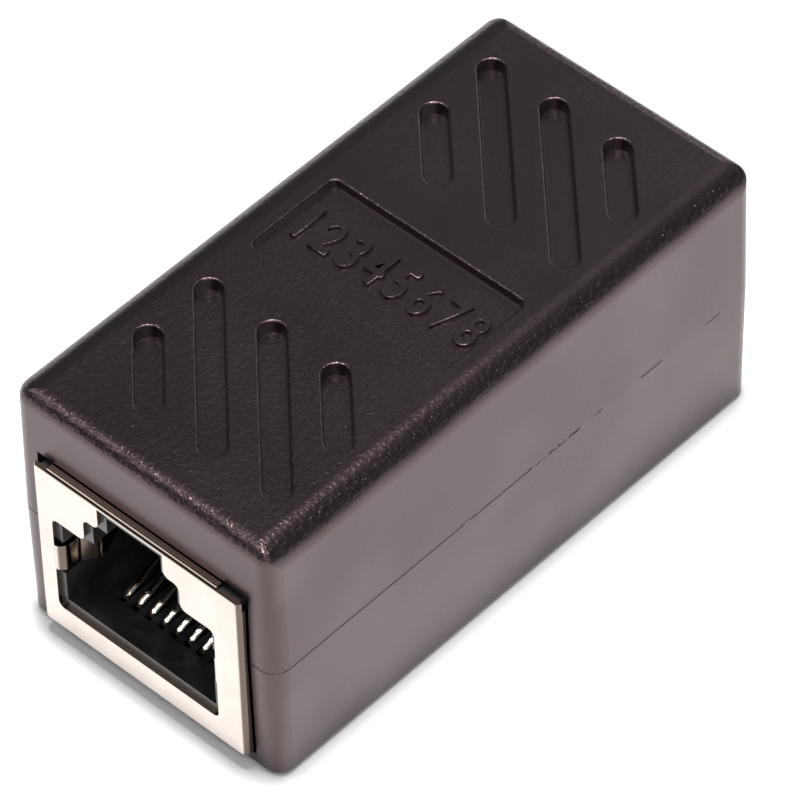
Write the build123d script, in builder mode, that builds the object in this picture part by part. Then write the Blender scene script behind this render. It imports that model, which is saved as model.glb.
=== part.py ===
from build123d import *
import math
import os

os.makedirs("parts", exist_ok=True)

# Plug space of each jack, with the stepped keyway for the plug's latch above it
plug_width = 11.68
plug_height = 6.65
plug_depth = 11.3
plug_floor = 2.65
step_width = 6.55
step_height = 1.75
notch_width = 4.2
notch_height = 1.3
notch_depth = 7.5

# Jack body round the plug space; it sits a little to one side of the shield's middle
jack_side_wall = 1.81
jack_roof = 0.6
jack_back = 4.35
body_clearance = 0.05
port_shift = -0.33
peg_diameter = 3.2
peg_inset = 1.935
peg_depth = 9.0

# Stamped metal shield of each port, which stands proud of the housing's end
sheet = 0.3
shield_proud = 0.6
shield_bend = 0.4
shield_foot_bend = 0.35
flange_depth = 3.2
flange_inset = 1.45
relief_drop = 0.12
relief_height = 0.9
relief_depth = 1.2
shield_slot_clearance = 0.12
lug_width = 1.6
lug_depth = 5.5

# Port window in the shield's face, a margin wider than the plug space all round
window_side_margin = 0.46
window_sill = 0.6
window_shoulder_margin = 0.15
window_step_margin = 0.45
window_step_rise = 0.25
window_notch_margin = 0.425
window_corner = 0.45

# Spring leaves folded back into the port from the sides of the window
leaf_height = 2.0
leaf_drop = 3.15
leaf_bend = 0.7
leaf_straight = 1.4
leaf_slant_depth = 1.1
leaf_slant_reach = 0.75
leaf_return_depth = 1.9
leaf_inset = 0.03
leaf_pocket = 0.9
leaf_pocket_depth = 5.0
leaf_pocket_clearance = 0.3

# Contacts: stamped springs at the standard pitch, in a comb carrier
contacts = 8
contact_pitch = 1.016
contact_width = 0.36
contact_thickness = 0.3
contact_bend = 0.5
contact_nose_depth = 2.55
contact_run_height = 1.55
contact_slope = 22.0
contact_tip_gap = 0.9
comb_slot_width = 0.56
comb_length = 1.4
comb_drop = 3.0
groove_clearance = 0.1
carrier_front_depth = 2.2
carrier_side_margin = 0.7
carrier_clearance = 0.05
tail_row_setback = 1.9
tail_row_gap = 1.27
tail_length = 0.9

# Circuit board above the jacks
board_thickness = 1.6
board_end_gap = 1.7
board_corner = 1.0
tail_hole = 0.9
peg_hole_clearance = 0.1
lug_slot_clearance = 0.2
lug_overlap = 0.6
peg_overlap = 0.3

# Housing: two moulded halves round the jacks and the board, each a little narrower away from the parting line
parting_height = 9.0
draft_angle = 0.7
side_wall = 1.5
end_wall = 1.5
top_wall = 1.6
floor_wall = 1.0
shield_side_gap = 0.5
jack_gap = 9.6
corner_radius = 1.2
top_edge_radius = 1.0
bottom_edge_radius = 0.4
inner_corner_radius = 0.35
board_pad_width = 2.2
board_pad_length = 4.0
board_pad_height = 1.2
board_pad_place = 5.0
stop_rib_thickness = 1.0
stop_rib_height = 5.0
stop_rib_clearance = 0.05

# Lip of the lower half, which locates the upper half
lip_thickness = 0.6
lip_height = 1.0
lip_clearance = 0.08

# Slanted grip slots in two fields on top, and the label recess between them
slot_width = 1.65
slot_depth = 0.8
slot_taper = 8.0
slot_pitch = 3.45
slots_per_field = 4
slot_side_margin = 2.75
slot_end_margin = 3.645
label_side_margin = 2.625
label_length = 7.0
label_land = 3.505
label_depth = 0.5
label_corner_radius = 0.5
rim_radius = 0.15

# Jack, shield and window, worked out from the plug space
shield_width = plug_width + 2 * (jack_side_wall + body_clearance + sheet)
shield_height = plug_floor + plug_height + step_height + notch_height + jack_roof + body_clearance + sheet
shield_depth = plug_depth + jack_back + body_clearance + sheet
flange_width = shield_width - 2 * flange_inset
body_width = shield_width - 2 * (sheet + body_clearance)
body_top = shield_height - sheet - body_clearance
body_back = shield_depth - sheet - body_clearance
peg_spacing = body_width - 2 * peg_inset
window_width = plug_width + 2 * window_side_margin
window_floor = plug_floor - window_sill
window_shoulder = plug_floor + plug_height + window_shoulder_margin
window_step_width = step_width + 2 * window_step_margin
window_step_height = plug_floor + plug_height + step_height + window_step_rise
window_notch_width = notch_width + 2 * window_notch_margin
window_top = shield_height - sheet
leaf_centre = plug_floor + plug_height - leaf_drop
leaf_face = plug_width / 2 + leaf_inset

# Carrier and contacts, worked out from the plug space
contact_tip_depth = plug_depth - contact_tip_gap
comb_front = plug_depth - comb_length
comb_top = plug_floor + plug_height - comb_drop
carrier_width = (contacts - 1) * contact_pitch + comb_slot_width + 2 * carrier_side_margin
tongue_front = carrier_front_depth + carrier_clearance
block_front = plug_depth + carrier_clearance
groove_height = contact_thickness + 2 * groove_clearance
groove_floor = contact_run_height - groove_height / 2
tail_row_depth = plug_depth + tail_row_setback

# Housing and board, worked out from the jacks, the gaps and the walls
housing_width = shield_width + 2 * (shield_side_gap + side_wall)
housing_length = 2 * (shield_depth - shield_proud) + jack_gap
housing_height = floor_wall + shield_height + board_thickness + board_pad_height + top_wall
inner_width = housing_width - 2 * side_wall
inner_length = housing_length - 2 * end_wall
ceiling = housing_height - top_wall
shield_floor = floor_wall
face_place = housing_length / 2 + shield_proud
board_floor = shield_floor + shield_height
board_top = board_floor + board_thickness
board_length = inner_length - 2 * board_end_gap
lug_rise = board_thickness + lug_overlap
label_width = housing_width - 2 * label_side_margin
slot_field_width = housing_width - 2 * slot_side_margin
slot_field_length = (housing_length - label_length) / 2 - slot_end_margin - label_land
slot_field_place = (label_length + slot_field_length) / 2 + label_land

# The nose is a turn of nearly 180 degrees between the level run and the sloping spring
half_slope = math.radians(contact_slope) / 2
nose_reach = contact_bend / math.tan(half_slope) - contact_bend
nose_corner = contact_nose_depth - nose_reach
tip_height = contact_run_height + (contact_tip_depth - nose_corner) * math.tan(2 * half_slope)

# Contact tails stand in two staggered rows, and two pegs locate the body on the board
tail_places = []
for index in range(contacts):
    across = port_shift + (index - (contacts - 1) / 2) * contact_pitch
    row = tail_row_depth + (tail_row_gap / 2 if index % 2 else -tail_row_gap / 2)
    tail_places.append((across, row))
peg_places = [(port_shift + side * peg_spacing / 2, peg_depth) for side in (-1, 1)]

# Each port has a plane on its metal face, looking out of the end, with its own x to the viewer's right
ports = {
    "front": Plane(origin=(0, -face_place, shield_floor), x_dir=(1, 0, 0), z_dir=(0, -1, 0)),
    "rear": Plane(origin=(0, face_place, shield_floor), x_dir=(-1, 0, 0), z_dir=(0, 1, 0)),
}


def side_plane(port, across):
    """A plane that cuts a port lengthways: x runs into the coupler, y up."""
    origin = port.origin + port.x_dir * across
    return Plane(origin=origin, x_dir=port.z_dir * -1, z_dir=port.x_dir)


def deck_plane(port, height):
    """A level plane at a height over the shield's floor, with x across and y into the coupler."""
    origin = port.origin + Vector(0, 0, height)
    return Plane(origin=origin, x_dir=port.x_dir, z_dir=(0, 0, 1))


def finish(builder, name):
    """Label a finished piece and write its file."""
    builder.part.label = name
    export_step(builder.part, f"parts/{name}.step")


# Upper half: drafted walls, rounded top edge, hollow inside, with four pads that hold the board down
with BuildPart() as upper_shell:
    with BuildSketch(Plane.XY.offset(parting_height)):
        RectangleRounded(housing_width, housing_length, corner_radius)
    extrude(amount=housing_height - parting_height, taper=draft_angle)
    fillet(upper_shell.faces().sort_by(Axis.Z)[-1].edges(), top_edge_radius)
    with BuildSketch(Plane.XY.offset(parting_height)):
        RectangleRounded(inner_width, inner_length, inner_corner_radius)
    extrude(amount=ceiling - parting_height, mode=Mode.SUBTRACT)
    with BuildSketch(Plane.XY.offset(parting_height)):
        rebate = 2 * (lip_thickness + lip_clearance)
        RectangleRounded(inner_width + rebate, inner_length + rebate, inner_corner_radius)
    extrude(amount=lip_height + lip_clearance, mode=Mode.SUBTRACT)
    with BuildSketch(Plane.XY.offset(ceiling)):
        pad_reach = (inner_width - board_pad_width) / 2
        with Locations(*[(side * pad_reach, end * board_pad_place) for side in (-1, 1) for end in (-1, 1)]):
            Rectangle(board_pad_width, board_pad_length)
    extrude(amount=board_top - ceiling)
    for port in ports.values():
        with BuildSketch(port.offset(-shield_proud)):
            with Locations((0, (shield_height + shield_slot_clearance) / 2)):
                Rectangle(shield_width + 2 * shield_slot_clearance, shield_height + shield_slot_clearance)
        extrude(amount=-end_wall, mode=Mode.SUBTRACT)

    # Grip slots: parallel lines at 45 degrees, each cut off where it meets the edge of its field
    rims = []
    for place in (-slot_field_place, slot_field_place):
        with BuildSketch(Plane.XY.offset(housing_height)):
            for index in range(slots_per_field):
                line = (index - (slots_per_field - 1) / 2) * slot_pitch * math.sqrt(2)
                start = max(-slot_field_width / 2, line - slot_field_length / 2)
                stop = min(slot_field_width / 2, line + slot_field_length / 2)
                middle = (start + stop) / 2
                with Locations((middle, place + line - middle)):
                    SlotOverall((stop - start) * math.sqrt(2), slot_width, rotation=-45)
        extrude(amount=-slot_depth, taper=slot_taper, mode=Mode.SUBTRACT)
        rims += upper_shell.edges(Select.LAST).group_by(Axis.Z)[-1]
    with BuildSketch(Plane.XY.offset(housing_height)):
        RectangleRounded(label_width, label_length, label_corner_radius)
    extrude(amount=-label_depth, taper=slot_taper, mode=Mode.SUBTRACT)
    rims += upper_shell.edges(Select.LAST).group_by(Axis.Z)[-1]
    fillet(rims, rim_radius)
finish(upper_shell, "upper_shell")

# Lower half: drafted walls, a lip that locates the upper half, and a rib behind each jack
with BuildPart() as lower_shell:
    with BuildSketch(Plane.XY.offset(parting_height)):
        RectangleRounded(housing_width, housing_length, corner_radius)
    extrude(amount=-parting_height, taper=draft_angle)
    fillet(lower_shell.faces().sort_by(Axis.Z)[0].edges(), bottom_edge_radius)
    with BuildSketch(Plane.XY.offset(parting_height)):
        lip_outer = 2 * lip_thickness
        RectangleRounded(inner_width + lip_outer, inner_length + lip_outer, inner_corner_radius)
    extrude(amount=lip_height)
    with BuildSketch(Plane.XY.offset(floor_wall)):
        RectangleRounded(inner_width, inner_length, inner_corner_radius)
    extrude(amount=parting_height + lip_height - floor_wall, mode=Mode.SUBTRACT)
    with BuildSketch(Plane.XY.offset(floor_wall)):
        rib_place = face_place - shield_depth - stop_rib_clearance - stop_rib_thickness / 2
        with Locations((0, -rib_place), (0, rib_place)):
            Rectangle(inner_width, stop_rib_thickness)
    extrude(amount=stop_rib_height)
    for port in ports.values():
        with BuildSketch(port.offset(-shield_proud)):
            with Locations((0, shield_height / 2)):
                Rectangle(shield_width + 2 * shield_slot_clearance, shield_height)
        extrude(amount=-end_wall, mode=Mode.SUBTRACT)
finish(lower_shell, "lower_shell")

# Circuit board: rests on both shields, with holes for tails and pegs and a notch for each shield lug
with BuildPart() as circuit_board:
    with BuildSketch(Plane.XY.offset(board_floor)):
        RectangleRounded(shield_width, board_length, board_corner)
    extrude(amount=board_thickness)
    for port in ports.values():
        with BuildSketch(deck_plane(port, shield_height)):
            with Locations(*tail_places):
                Circle(tail_hole / 2)
            with Locations(*peg_places):
                Circle(peg_diameter / 2 + peg_hole_clearance)
            with Locations((-shield_width / 2, lug_depth), (shield_width / 2, lug_depth)):
                Rectangle(2 * (sheet + lug_slot_clearance), lug_width + 2 * lug_slot_clearance)
        extrude(amount=board_thickness, mode=Mode.SUBTRACT)
finish(circuit_board, "circuit_board")

for end, port in ports.items():
    # Shield: one folded sheet with the window, corner reliefs, spring leaves and solder lugs
    with BuildPart() as shield:
        with BuildSketch(port):
            with Locations((0, shield_height / 2)):
                Rectangle(shield_width, shield_height)
        extrude(amount=-shield_depth)
        front_edges = shield.faces().sort_by(Axis(port.origin, port.z_dir))[-1].edges()
        fillet(front_edges.filter_by(Axis.Z), shield_bend)
        front_edges = shield.faces().sort_by(Axis(port.origin, port.z_dir))[-1].edges()
        fillet(front_edges.filter_by(Axis.X), shield_foot_bend)
        with BuildSketch(port.offset(-sheet)):
            with Locations((0, shield_height / 2)):
                Rectangle(shield_width - 2 * sheet, shield_height - 2 * sheet)
        extrude(amount=-(shield_depth - 2 * sheet), mode=Mode.SUBTRACT)
        with BuildSketch(deck_plane(port, shield_height)):
            with Locations((0, (flange_depth + shield_depth - sheet) / 2)):
                Rectangle(shield_width - 2 * sheet, shield_depth - sheet - flange_depth)
        extrude(amount=-sheet, mode=Mode.SUBTRACT)
        for side in (-1, 1):
            relief_start = port_shift + side * flange_width / 2
            relief_end = side * shield_width / 2
            relief_middle = (relief_start + relief_end) / 2
            relief_span = abs(relief_end - relief_start)
            with BuildSketch(port):
                with Locations((relief_middle, shield_height - relief_drop / 2)):
                    Rectangle(relief_span, relief_drop)
            extrude(amount=-flange_depth, mode=Mode.SUBTRACT)
            with BuildSketch(port.offset(-sheet)):
                with Locations((relief_middle, shield_height - relief_height / 2)):
                    Rectangle(relief_span, relief_height)
            extrude(amount=-(relief_depth - sheet), mode=Mode.SUBTRACT)
            with BuildSketch(port.offset(-relief_depth)):
                with Locations(((relief_middle - side * sheet / 2), shield_height - sheet / 2)):
                    Rectangle(relief_span - sheet, sheet)
            extrude(amount=-(flange_depth - relief_depth), mode=Mode.SUBTRACT)
        with BuildSketch(port) as window:
            with Locations((port_shift, (window_floor + window_shoulder) / 2)):
                Rectangle(window_width, window_shoulder - window_floor)
            with Locations((port_shift, (window_floor + window_step_height) / 2)):
                Rectangle(window_step_width, window_step_height - window_floor)
            with Locations((port_shift, (window_floor + window_top) / 2)):
                Rectangle(window_notch_width, window_top - window_floor)
            rounded = window.vertices().sort_by(Axis.Y)[:-2]
            fillet(rounded, window_corner)
        extrude(amount=-sheet, mode=Mode.SUBTRACT)
        for side in (-1, 1):
            face = port_shift + side * leaf_face
            with BuildLine(deck_plane(port, leaf_centre)) as leaf_route:
                FilletPolyline(
                    (face + side * 2 * leaf_bend, sheet / 2),
                    (face, sheet / 2),
                    (face, leaf_straight),
                    (face - side * leaf_slant_reach, leaf_straight + leaf_slant_depth),
                    (face, leaf_straight + leaf_slant_depth + leaf_return_depth),
                    radius=leaf_bend - sheet / 2,
                )
            start_plane = Plane(origin=leaf_route.line @ 0, x_dir=(0, 0, 1), z_dir=leaf_route.line % 0)
            with BuildSketch(start_plane):
                Rectangle(leaf_height, sheet)
            sweep(path=leaf_route.line)
        for side in (-1, 1):
            with BuildSketch(side_plane(port, side * shield_width / 2)):
                with Locations((lug_depth, shield_height + (lug_rise - sheet) / 2)):
                    Rectangle(lug_width, lug_rise + sheet)
            extrude(amount=-side * sheet)
    finish(shield, f"{end}_port_shield")

    # Jack body: plug space and stepped latch keyway, open below and behind for the carrier
    with BuildPart() as body:
        with BuildSketch(port.offset(-sheet)):
            with Locations((0, (body_top + sheet) / 2)):
                Rectangle(body_width, body_top - sheet)
        extrude(amount=-(body_back - sheet))
        with BuildSketch(port.offset(-sheet)):
            with Locations((port_shift, plug_floor + plug_height / 2)):
                Rectangle(plug_width, plug_height)
            with Locations((port_shift, plug_floor + (plug_height + step_height) / 2)):
                Rectangle(step_width, plug_height + step_height)
        extrude(amount=-(plug_depth - sheet), mode=Mode.SUBTRACT)
        with BuildSketch(port.offset(-sheet)):
            with Locations((port_shift, plug_floor + plug_height + (step_height + notch_height) / 2)):
                Rectangle(notch_width, step_height + notch_height)
        extrude(amount=-(notch_depth - sheet), mode=Mode.SUBTRACT)
        with BuildSketch(side_plane(port, port_shift)):
            with Locations(((carrier_front_depth + body_back) / 2, (sheet + plug_floor) / 2)):
                Rectangle(body_back - carrier_front_depth, plug_floor - sheet)
            with Locations(((plug_depth + body_back) / 2, (sheet + body_top) / 2)):
                Rectangle(body_back - plug_depth, body_top - sheet)
        extrude(amount=carrier_width / 2 + carrier_clearance, both=True, mode=Mode.SUBTRACT)
        with BuildSketch(port.offset(-sheet)):
            with Locations((port_shift, leaf_centre)):
                Rectangle(plug_width + 2 * leaf_pocket, leaf_height + 2 * leaf_pocket_clearance)
        extrude(amount=-leaf_pocket_depth, mode=Mode.SUBTRACT)
        with BuildSketch(deck_plane(port, body_top)):
            with Locations(*peg_places):
                Circle(peg_diameter / 2)
        extrude(amount=shield_height - body_top + board_thickness + peg_overlap)
    finish(body, f"{end}_port_body")

    # Carrier: a tongue under the plug space and a block behind it, grooved for the eight contacts
    with BuildPart() as carrier:
        with BuildSketch(side_plane(port, port_shift)):
            with Locations(((tongue_front + body_back) / 2, (sheet + plug_floor) / 2)):
                Rectangle(body_back - tongue_front, plug_floor - sheet)
            with Locations(((comb_front + body_back) / 2, (plug_floor + comb_top) / 2)):
                Rectangle(body_back - comb_front, comb_top - plug_floor)
            with Locations(((block_front + body_back) / 2, (comb_top + body_top) / 2)):
                Rectangle(body_back - block_front, body_top - comb_top)
        extrude(amount=carrier_width / 2, both=True)
        for across, tail in tail_places:
            with BuildSketch(side_plane(port, across)):
                with Locations(((tongue_front + block_front) / 2, (groove_floor + comb_top) / 2)):
                    Rectangle(block_front - tongue_front, comb_top - groove_floor)
                with Locations(((tongue_front + body_back) / 2, contact_run_height)):
                    Rectangle(body_back - tongue_front, groove_height)
                with Locations(((tail - groove_height / 2 + body_back) / 2, (groove_floor + body_top) / 2)):
                    Rectangle(body_back - tail + groove_height / 2, body_top - groove_floor)
            extrude(amount=comb_slot_width / 2, both=True, mode=Mode.SUBTRACT)
    finish(carrier, f"{end}_contact_carrier")

    # Contacts: each a flat spring from its tail through the carrier, round the nose and back up into the port
    for number, (across, tail) in enumerate(tail_places, start=1):
        with BuildPart() as contact:
            with BuildLine(side_plane(port, across)) as route:
                FilletPolyline(
                    (tail, shield_height + board_thickness + tail_length),
                    (tail, contact_run_height),
                    (nose_corner, contact_run_height),
                    (contact_tip_depth, tip_height),
                    radius=contact_bend,
                )
            start_plane = Plane(origin=route.line @ 0, x_dir=port.x_dir, z_dir=route.line % 0)
            with BuildSketch(start_plane):
                Rectangle(contact_width, contact_thickness)
            sweep(path=route.line)
        finish(contact, f"{end}_contact_{number}")
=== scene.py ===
import bpy
import math
from mathutils import Matrix, Vector


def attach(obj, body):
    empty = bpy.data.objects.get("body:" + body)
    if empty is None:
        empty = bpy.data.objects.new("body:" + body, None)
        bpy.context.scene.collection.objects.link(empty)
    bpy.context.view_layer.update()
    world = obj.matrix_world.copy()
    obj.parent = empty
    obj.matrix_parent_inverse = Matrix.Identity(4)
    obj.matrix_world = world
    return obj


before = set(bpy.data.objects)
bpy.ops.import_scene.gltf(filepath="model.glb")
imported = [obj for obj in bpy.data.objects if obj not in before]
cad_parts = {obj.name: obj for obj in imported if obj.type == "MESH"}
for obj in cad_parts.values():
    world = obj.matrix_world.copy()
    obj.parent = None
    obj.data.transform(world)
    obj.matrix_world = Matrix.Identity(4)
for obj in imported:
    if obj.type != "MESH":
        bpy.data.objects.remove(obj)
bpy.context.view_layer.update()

mm = 0.001

# Upper shell: the top half of the housing, moulded in black plastic from a spark-eroded tool.
# The top is grained and rubbed smoother towards the rear; the walls are satin, and a painted sheen lightens the
# long walls and the rear of the top.
# It is welded to the lower shell along the parting line. Sizes in finishes are in millimetres.
shell_black = (0.0036, 0.0028, 0.0029, 1)
shell_worn = (0.018, 0.018, 0.019, 1)
# The paler grey of the painted sheen on the long walls and the rear of the top
shell_painted_sheen = (0.055, 0.050, 0.050, 1)
line_black = (0.002, 0.002, 0.002, 1)
shell_sheen = (1.0, 0.70, 0.73, 1)
shell_index = 1.80
shell_gloss = 0.25
cloud_size = 0.12
painted_sheen_size = 0.11
grain_depth = 0.044 * mm
parting_height = 9.0
line_half_width = (0.04, 0.13)
line_depth = 4.0
top_height = 18.7
draft_slope = 0.0122
wall_reach = 10.11
soft_edge = 1.7
rubbed_and_sheen_from = -10.0
rubbed_and_sheen_to = 12.0


def new_effect(name, inputs, outputs):
    """A shader node group with named sockets, its input and its output node."""
    effect = bpy.data.node_groups.new(name, "ShaderNodeTree")
    for label, kind, value in inputs:
        socket = effect.interface.new_socket(name=label, in_out="INPUT", socket_type=kind)
        if value is not None:
            socket.default_value = value
    for label, kind in outputs:
        effect.interface.new_socket(name=label, in_out="OUTPUT", socket_type=kind)
    return effect, effect.nodes.new("NodeGroupInput"), effect.nodes.new("NodeGroupOutput")


def add_noise(tree, place, scale, detail, roughness=0.5):
    """Noise whose scale is in patches per millimetre, since the place comes in millimetres."""
    noise = tree.nodes.new("ShaderNodeTexNoise")
    noise.inputs["Scale"].default_value = scale
    noise.inputs["Detail"].default_value = detail
    noise.inputs["Roughness"].default_value = roughness
    tree.links.new(place, noise.inputs["Vector"])
    return noise.outputs["Fac"]


def add_math(tree, operation, *values):
    """One math node; each value is a number or another node's output."""
    node = tree.nodes.new("ShaderNodeMath")
    node.operation = operation
    for slot, value in enumerate(values):
        if isinstance(value, (int, float)):
            node.inputs[slot].default_value = value
        else:
            tree.links.new(value, node.inputs[slot])
    return node.outputs["Value"]


def add_range(tree, value, low, high, out_low=0.0, out_high=1.0):
    """Map low..high onto out_low..out_high, clamped and eased."""
    node = tree.nodes.new("ShaderNodeMapRange")
    node.interpolation_type = "SMOOTHSTEP"
    tree.links.new(value, node.inputs["Value"])
    node.inputs["From Min"].default_value = low
    node.inputs["From Max"].default_value = high
    node.inputs["To Min"].default_value = out_low
    node.inputs["To Max"].default_value = out_high
    return node.outputs["Result"]


def add_blend(tree, mask, first, second):
    """Blend two colours by a mask."""
    node = tree.nodes.new("ShaderNodeMix")
    node.data_type = "RGBA"
    tree.links.new(mask, node.inputs["Factor"])
    for label, value in (("A", first), ("B", second)):
        socket = [s for s in node.inputs if s.name == label and s.type == "RGBA"][0]
        if isinstance(value, tuple):
            socket.default_value = value
        else:
            tree.links.new(value, socket)
    return [s for s in node.outputs if s.type == "RGBA"][0]


def add_axis(tree, vector, axis):
    """One axis of a vector, such as the place."""
    node = tree.nodes.new("ShaderNodeSeparateXYZ")
    tree.links.new(vector, node.inputs["Vector"])
    return node.outputs[axis]


def add_facing(tree, axis):
    """How far the surface faces along one axis, from -1 to 1."""
    geometry = tree.nodes.new("ShaderNodeNewGeometry")
    return add_axis(tree, geometry.outputs["Normal"], axis)


def add_stretch(tree, place, scale):
    """The place with each axis scaled, for a pattern that is drawn out along one of them."""
    node = tree.nodes.new("ShaderNodeMapping")
    node.inputs["Scale"].default_value = scale
    tree.links.new(place, node.inputs["Vector"])
    return node.outputs["Vector"]


def new_finish(name):
    """A material with its shader, and the object's own coordinates in millimetres."""
    finish = bpy.data.materials.new(name)
    finish.use_nodes = True
    tree = finish.node_tree
    coordinates = tree.nodes.new("ShaderNodeTexCoord")
    place = add_stretch(tree, coordinates.outputs["Object"], (1000, 1000, 1000))
    return finish, tree, tree.nodes["Principled BSDF"], place


def add_effect(tree, effect, place, **values):
    """Place a node group in a material, feed it the place and its own values."""
    node = tree.nodes.new("ShaderNodeGroup")
    node.node_tree = effect
    tree.links.new(place, node.inputs["Place"])
    for label, value in values.items():
        node.inputs[label].default_value = value
    return node


def add_bump(tree, shader, height, distance):
    """Feed a height in to the shader's normal."""
    bump = tree.nodes.new("ShaderNodeBump")
    bump.inputs["Strength"].default_value = 1.0
    bump.inputs["Distance"].default_value = distance
    tree.links.new(height, bump.inputs["Height"])
    tree.links.new(bump.outputs["Normal"], shader.inputs["Normal"])


def dress(node, finish):
    """Give one node of the frame its finish."""
    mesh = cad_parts[node].data
    mesh.materials.clear()
    mesh.materials.append(finish)


# Spark-eroded grain: pits and short scratches of two sizes, in grains per millimetre
spark_grain, grain_in, grain_out = new_effect(
    "spark_grain",
    [("Place", "NodeSocketVector", None), ("Fine", "NodeSocketFloat", 5.0), ("Coarse", "NodeSocketFloat", 1.6)],
    [("Height", "NodeSocketFloat"), ("Fleck", "NodeSocketFloat")],
)
fine = spark_grain.nodes.new("ShaderNodeTexNoise")
fine.inputs["Detail"].default_value = 3.0
fine.inputs["Roughness"].default_value = 0.6
fine.inputs["Distortion"].default_value = 0.8
spark_grain.links.new(grain_in.outputs["Place"], fine.inputs["Vector"])
spark_grain.links.new(grain_in.outputs["Fine"], fine.inputs["Scale"])
coarse = spark_grain.nodes.new("ShaderNodeTexVoronoi")
coarse.feature = "SMOOTH_F1"
coarse.inputs["Smoothness"].default_value = 0.6
spark_grain.links.new(grain_in.outputs["Place"], coarse.inputs["Vector"])
spark_grain.links.new(grain_in.outputs["Coarse"], coarse.inputs["Scale"])
relief = add_math(spark_grain, "MULTIPLY_ADD", coarse.outputs["Distance"], -0.7, fine.outputs["Fac"])
fleck = add_range(spark_grain, fine.outputs["Fac"], 0.54, 0.72)
spark_grain.links.new(relief, grain_out.inputs["Height"])
spark_grain.links.new(fleck, grain_out.inputs["Fleck"])

shell_finish, tree, shader, place = new_finish("satin_black_plastic")
shader.inputs["IOR"].default_value = shell_index
shader.inputs["Specular Tint"].default_value = shell_sheen
grain = add_effect(tree, spark_grain, place, Fine=4.5, Coarse=2.8)
fleck = grain.outputs["Fleck"]
side = add_axis(tree, place, "X")
along = add_axis(tree, place, "Y")
height = add_axis(tree, place, "Z")
facing_up = add_facing(tree, "Z")
upward = add_range(tree, facing_up, 0.15, 0.60)
flat_top = add_range(tree, facing_up, 0.90, 0.995)
long_wall = add_range(tree, add_math(tree, "ABSOLUTE", add_facing(tree, "Y")), 0.3, 0.9, 1.0, 0.0)

# The long top edges fall away over a wider band than the rounding itself
across = add_math(tree, "MULTIPLY_ADD", height, draft_slope, add_math(tree, "ABSOLUTE", side))
across = add_math(tree, "MAXIMUM", add_math(tree, "SUBTRACT", across, wall_reach - soft_edge), 0.0)
upright = add_math(tree, "SUBTRACT", height, top_height - soft_edge)
upright = add_math(tree, "MAXIMUM", upright, 0.0)
corner = add_math(tree, "MULTIPLY_ADD", across, across, add_math(tree, "MULTIPLY", upright, upright))
corner = add_math(tree, "SQRT", corner)
fall = add_math(tree, "MINIMUM", add_math(tree, "SUBTRACT", soft_edge, corner), 0.0)
fall = add_math(tree, "MULTIPLY", fall, long_wall)

# The halves meet in a hair line, whole near the front and broken towards the rear
line_gap = add_math(tree, "ABSOLUTE", add_math(tree, "SUBTRACT", height, parting_height))
line = add_range(tree, line_gap, *line_half_width, 1.0, 0.0)
breaks = add_math(tree, "MULTIPLY_ADD", along, -0.007, add_noise(tree, place, 0.42, 3.0, 0.7))
line = add_math(tree, "MULTIPLY", line, add_range(tree, breaks, 0.42, 0.50))

# Pale flecks on the grained parts, and a cloudy painted sheen that lightens the long walls and the rear of the
# top
fleck_share = add_math(tree, "MULTIPLY_ADD", upward, 0.30, 0.05)
tone = add_blend(tree, add_math(tree, "MULTIPLY", fleck, fleck_share), shell_black, shell_worn)
# Painted sheen: a paler grey blended into the long walls, and into the flat of the top growing towards the rear
painted_sheen = add_range(tree, add_noise(tree, place, painted_sheen_size, 2.0), 0.38, 0.66, 0.25, 1.0)
painted_sheen = add_math(tree, "MULTIPLY", painted_sheen, long_wall)
painted_sheen = add_math(tree, "MULTIPLY", painted_sheen, add_math(tree, "SUBTRACT", 1.0, upward))
top_painted_sheen = add_range(tree, along, rubbed_and_sheen_from, rubbed_and_sheen_to, 0.0, 0.05)
painted_sheen = add_math(tree, "MULTIPLY_ADD", flat_top, top_painted_sheen, painted_sheen)
tone = add_blend(tree, painted_sheen, tone, shell_painted_sheen)
tone = add_blend(tree, line, tone, line_black)
tree.links.new(tone, shader.inputs["Base Color"])

# Soft cloudy patches of shine, as moulded walls have, and shinier flecks
shine = add_math(tree, "MULTIPLY_ADD", upward, -0.03, shell_gloss)
shine = add_math(tree, "MULTIPLY_ADD", add_noise(tree, place, cloud_size, 2.0), 0.10, shine)
shine = add_math(tree, "MULTIPLY_ADD", fleck, -0.03, shine)
tree.links.new(shine, shader.inputs["Roughness"])

# The grain is full on the rounded edges, faint on the walls, and rubbed down on the flat of the top
coarseness = add_math(tree, "MULTIPLY_ADD", upward, 0.92, 0.08)
rubbed = add_range(tree, along, rubbed_and_sheen_from, rubbed_and_sheen_to, -0.55, -0.78)
coarseness = add_math(tree, "MULTIPLY_ADD", flat_top, rubbed, coarseness)
depth = add_math(tree, "MULTIPLY", grain.outputs["Height"], coarseness)
depth = add_math(tree, "MULTIPLY_ADD", line, -line_depth, depth)
depth = add_math(tree, "MULTIPLY_ADD", fall, mm / grain_depth, depth)
add_bump(tree, shader, depth, grain_depth)
dress("upper_shell", shell_finish)

# Lower shell: the bottom half of the housing, from the same plastic, smooth all round.
# Its lip locates the upper shell, and the two are welded where they meet.
dress("lower_shell", shell_finish)

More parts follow.
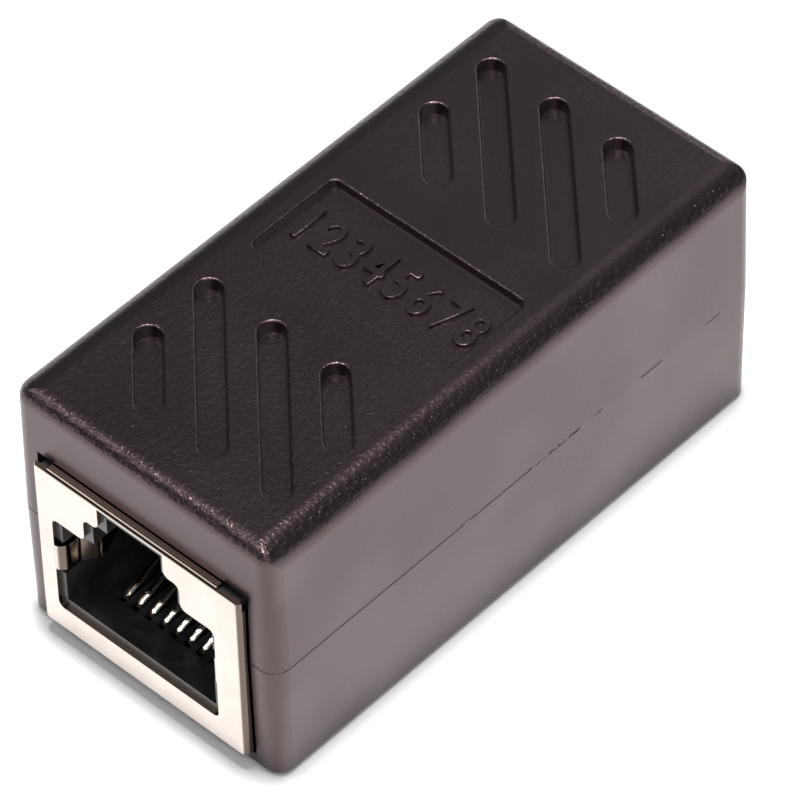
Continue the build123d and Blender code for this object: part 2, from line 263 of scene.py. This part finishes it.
# Pin numbers: raised figures on the floor of the recess, cut in the same tool as the top.
# They are part of the upper shell's moulding and share its plastic.
figure_height = 2.7 * mm
figure_rise = 0.12 * mm
figure_edge = 0.04 * mm
figure_narrowing = 0.74
gap_between_figures = 0.55
font_size_per_figure_height = 1.38
recess_floor = 18.2 * mm
weld_distance = 0.002 * mm
bpy.ops.object.select_all(action="DESELECT")
bpy.ops.object.text_add(location=(0, 0, 0))
figures = bpy.context.object
figures.name = "raised_pin_numbers"
figures.data.body = "1 2 3 4 5 6 7 8"
figures.data.size = figure_height * font_size_per_figure_height
figures.data.align_x = "CENTER"
figures.data.align_y = "CENTER"
figures.data.extrude = figure_rise
figures.data.offset = figure_edge
figures.data.bevel_depth = figure_edge
figures.data.bevel_resolution = 1
figures.data.space_word = gap_between_figures
figures.scale = (figure_narrowing, 1.0, 1.0)
bpy.ops.object.convert(target="MESH")
figures.location = (0, 0, recess_floor + figure_rise * 0.6)
bpy.ops.object.transform_apply(location=True, rotation=True, scale=True)
bpy.ops.object.mode_set(mode="EDIT")
bpy.ops.mesh.select_all(action="SELECT")
bpy.ops.mesh.remove_doubles(threshold=weld_distance)
bpy.ops.mesh.normals_make_consistent(inside=False)
bpy.ops.object.mode_set(mode="OBJECT")
figures.data.materials.clear()
figures.data.materials.append(shell_finish)
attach(figures, "root")

# Port shields: each one blanked and folded from nickel-plated sheet, clipped over its jack.
# The plate keeps faint rolling lines, and the folded parts beside the housing are painted dark brown
# as painted shade. The spring leaves are folded in from the window.
plate_bright = (0.71, 0.645, 0.60, 1)
plate_dull = (0.65, 0.585, 0.53, 1)
fold_painted_shade = (0.150, 0.120, 0.100, 1)
rolling_stretch = (0.35, 0.35, 9.0)
rolling_depth = 0.002 * mm
plate_finish, tree, shader, place = new_finish("nickel_plated_sheet")
shader.inputs["Metallic"].default_value = 1.0
lines = add_noise(tree, add_stretch(tree, place, rolling_stretch), 1.2, 3.0, 0.6)
smudge = add_noise(tree, place, 0.35, 3.0, 0.6)
tone = add_blend(tree, add_range(tree, smudge, 0.35, 0.70), plate_bright, plate_dull)
# Painted shade: the faces that don't look to the front or rear are painted dark brown
fold_shade_mask = add_range(tree, add_math(tree, "ABSOLUTE", add_facing(tree, "Y")), 0.84, 0.98, 1.0, 0.0)
tone = add_blend(tree, fold_shade_mask, tone, fold_painted_shade)
tree.links.new(tone, shader.inputs["Base Color"])
shine = add_math(tree, "MULTIPLY_ADD", smudge, 0.05, add_math(tree, "MULTIPLY_ADD", lines, 0.03, 0.09))
tree.links.new(shine, shader.inputs["Roughness"])
add_bump(tree, shader, lines, rolling_depth)
for end in ("front", "rear"):
    dress(end + "_port_shield", plate_finish)

# Jack bodies and contact carriers: black glass-filled nylon mouldings, smoother than the housing.
# Each body holds its carrier, and its two pegs stand in the circuit board.
nylon_black = (0.016, 0.015, 0.016, 1)
nylon_pale = (0.040, 0.036, 0.036, 1)
nylon_index = 1.75
nylon_grain_depth = 0.004 * mm
nylon_finish, tree, shader, place = new_finish("jack_nylon")
shader.inputs["IOR"].default_value = nylon_index
grain = add_effect(tree, spark_grain, place, Fine=7.0, Coarse=4.0)
fibres = add_range(tree, add_noise(tree, place, 0.8, 3.0, 0.6), 0.42, 0.72)
tree.links.new(add_blend(tree, fibres, nylon_black, nylon_pale), shader.inputs["Base Color"])
shine = add_math(tree, "MULTIPLY_ADD", grain.outputs["Fleck"], 0.12, 0.34)
tree.links.new(shine, shader.inputs["Roughness"])
add_bump(tree, shader, grain.outputs["Height"], nylon_grain_depth)
for end in ("front", "rear"):
    dress(end + "_port_body", nylon_finish)
    dress(end + "_contact_carrier", nylon_finish)

# Contacts: eight phosphor-bronze springs a side, nickel plated, with a gold flash on the sloping part.
# They run through the carrier and up into the circuit board. Each is rounded across its width,
# and its slope steepens towards the nose, whose tip is painted dark as painted shade.
gold = (0.90, 0.83, 0.70, 1)
nickel = (0.82, 0.80, 0.76, 1)
nose_painted_shade = (0.12, 0.10, 0.085, 1)
contact_pitch = 1.016
port_shift = -0.33
gold_from = (9.5, 10.4)
nose_from = (17.85, 18.08)
steep_part = (17.2, 18.15)
drawing_stretch = (9.0, 0.5, 0.5)
contact_relief = 0.002 * mm
contact_finish, tree, shader, place = new_finish("plated_spring_bronze")
shader.inputs["Metallic"].default_value = 1.0
side = add_axis(tree, place, "X")
along = add_axis(tree, place, "Y")
reach = add_math(tree, "ABSOLUTE", along)
flash = add_math(tree, "ADD", reach, add_math(tree, "MULTIPLY", add_noise(tree, place, 3.0, 2.0), 0.5))
tone = add_blend(tree, add_range(tree, flash, *gold_from), nickel, gold)
# Painted shade: the nose tips are painted dark
tone = add_blend(tree, add_range(tree, reach, *nose_from), tone, nose_painted_shade)
tree.links.new(tone, shader.inputs["Base Color"])
lines = add_noise(tree, add_stretch(tree, place, drawing_stretch), 1.5, 2.0)
tree.links.new(add_math(tree, "MULTIPLY_ADD", lines, 0.04, 0.07), shader.inputs["Roughness"])
crown = add_math(tree, "MULTIPLY_ADD", add_range(tree, reach, *steep_part, 1.0, 0.0), 62.0, lines)
turned = add_math(tree, "MULTIPLY", side, add_math(tree, "SIGN", along))
across = add_math(tree, "SUBTRACT", contact_pitch / 2 - port_shift, turned)
across = add_math(tree, "PINGPONG", across, contact_pitch / 2)
crown = add_math(tree, "MULTIPLY_ADD", add_math(tree, "MULTIPLY", across, across), -190.0, crown)
add_bump(tree, shader, crown, contact_relief)
for end in ("front", "rear"):
    for number in range(1, 9):
        dress(f"{end}_contact_{number}", contact_finish)

# Circuit board: glass-epoxy laminate under green lacquer, with eight tracks from jack to jack.
# It stands on both shields, and the jacks' tails are soldered into it.
lacquer = (0.012, 0.110, 0.045, 1)
lacquer_over_track = (0.030, 0.200, 0.070, 1)
laminate = (0.42, 0.36, 0.20, 1)
track_half_width = (0.18, 0.24)
tracks_reach = (3.9, 4.1)
board_relief = 0.015 * mm
board_finish, tree, shader, place = new_finish("lacquered_board")
side = add_axis(tree, place, "X")
across = add_math(tree, "ADD", side, contact_pitch / 2 - port_shift)
across = add_math(tree, "PINGPONG", across, contact_pitch / 2)
track = add_range(tree, across, *track_half_width, 1.0, 0.0)
span = add_range(tree, add_math(tree, "ABSOLUTE", side), *tracks_reach, 1.0, 0.0)
tone = add_blend(tree, add_math(tree, "MULTIPLY", track, span), lacquer, lacquer_over_track)
rim = add_range(tree, add_math(tree, "ABSOLUTE", add_facing(tree, "Z")), 0.3, 0.7, 1.0, 0.0)
tree.links.new(add_blend(tree, rim, tone, laminate), shader.inputs["Base Color"])
speckle = add_noise(tree, place, 3.0, 3.0)
tree.links.new(add_math(tree, "MULTIPLY_ADD", speckle, 0.2, 0.22), shader.inputs["Roughness"])
weave = tree.nodes.new("ShaderNodeTexBrick")
weave.inputs["Scale"].default_value = 1.6
tree.links.new(place, weave.inputs["Vector"])
relief = add_math(tree, "MULTIPLY_ADD", weave.outputs["Fac"], 0.15, track)
add_bump(tree, shader, relief, board_relief)
dress("circuit_board", board_finish)

# Floor: a plain pale sheet that the coupler rests on
floor_drop = 0.01 * mm
paper_white = (0.90, 0.90, 0.90, 1)
paper_shade = (0.88, 0.88, 0.88, 1)
bpy.ops.object.select_all(action="DESELECT")
bpy.ops.mesh.primitive_plane_add(size=3.0, location=(0, 0, -floor_drop))
floor = bpy.context.object
floor.name = "studio_floor"
floor_finish, tree, shader, place = new_finish("pale_floor")
shade = add_blend(tree, add_noise(tree, place, 0.01, 2.0), paper_shade, paper_white)
tree.links.new(shade, shader.inputs["Base Color"])
shader.inputs["Roughness"].default_value = 0.9
shader.inputs["Specular IOR Level"].default_value = 0.1
floor.data.materials.append(floor_finish)

# Studio light: a softbox high over the coupler for the floor, a weak one behind it that rakes the
# slots' rims, a card at the front left that the contacts catch, a fill beside the camera, and a dim
# even room
room_grey = (0.126, 0.140, 0.145, 1)
lamp_white = (1.0, 0.985, 0.975)
scene = bpy.context.scene
scene.view_settings.view_transform = "Standard"
world = bpy.data.worlds.new("dim_room")
scene.world = world
world.use_nodes = True
world.node_tree.nodes["Background"].inputs["Color"].default_value = room_grey


def add_softbox(name, towards, distance, size, power):
    """A square area light in a direction from the coupler, turned to it."""
    lamp = bpy.data.lights.new(name, "AREA")
    lamp.shape = "SQUARE"
    lamp.size = size
    lamp.energy = power
    lamp.color = lamp_white
    holder = bpy.data.objects.new(name, lamp)
    scene.collection.objects.link(holder)
    holder.location = Vector(towards).normalized() * distance
    holder.rotation_euler = (-holder.location).to_track_quat("-Z", "Y").to_euler()


add_softbox("overhead", (-0.012, 0.028, 1.0), distance=1.0, size=0.14, power=12.8)
add_softbox("rake", (-0.30, 0.785, 0.56), distance=0.8, size=0.24, power=0.42)
add_softbox("contact_card", (-0.487, -0.40, 0.77), distance=0.6, size=0.16, power=0.45)
add_softbox("fill", (0.55, -0.55, 0.75), distance=0.7, size=0.5, power=1.4)

# Camera: stands to the right of the front port, looking down on the coupler
camera_azimuth = math.radians(45.9945)
camera_elevation = math.radians(47.4151)
camera_roll = math.radians(-1.6551)
camera_place = Vector((0.17901, -0.18464, 0.28796))
focal_pixels = 6626.75
frame_pixels = 800
sensor_width = 36.0
camera = bpy.data.objects.new("camera", bpy.data.cameras.new("camera"))
scene.collection.objects.link(camera)
camera.data.sensor_width = sensor_width
camera.data.lens = focal_pixels / frame_pixels * sensor_width
camera.data.clip_start = 0.01
camera.data.clip_end = 20.0
camera.matrix_world = (
    Matrix.Translation(camera_place)
    @ Matrix.Rotation(math.pi / 2 - camera_azimuth, 4, "Z")
    @ Matrix.Rotation(math.pi / 2 - camera_elevation, 4, "X")
    @ Matrix.Rotation(camera_roll, 4, "Z")
)
scene.camera = camera
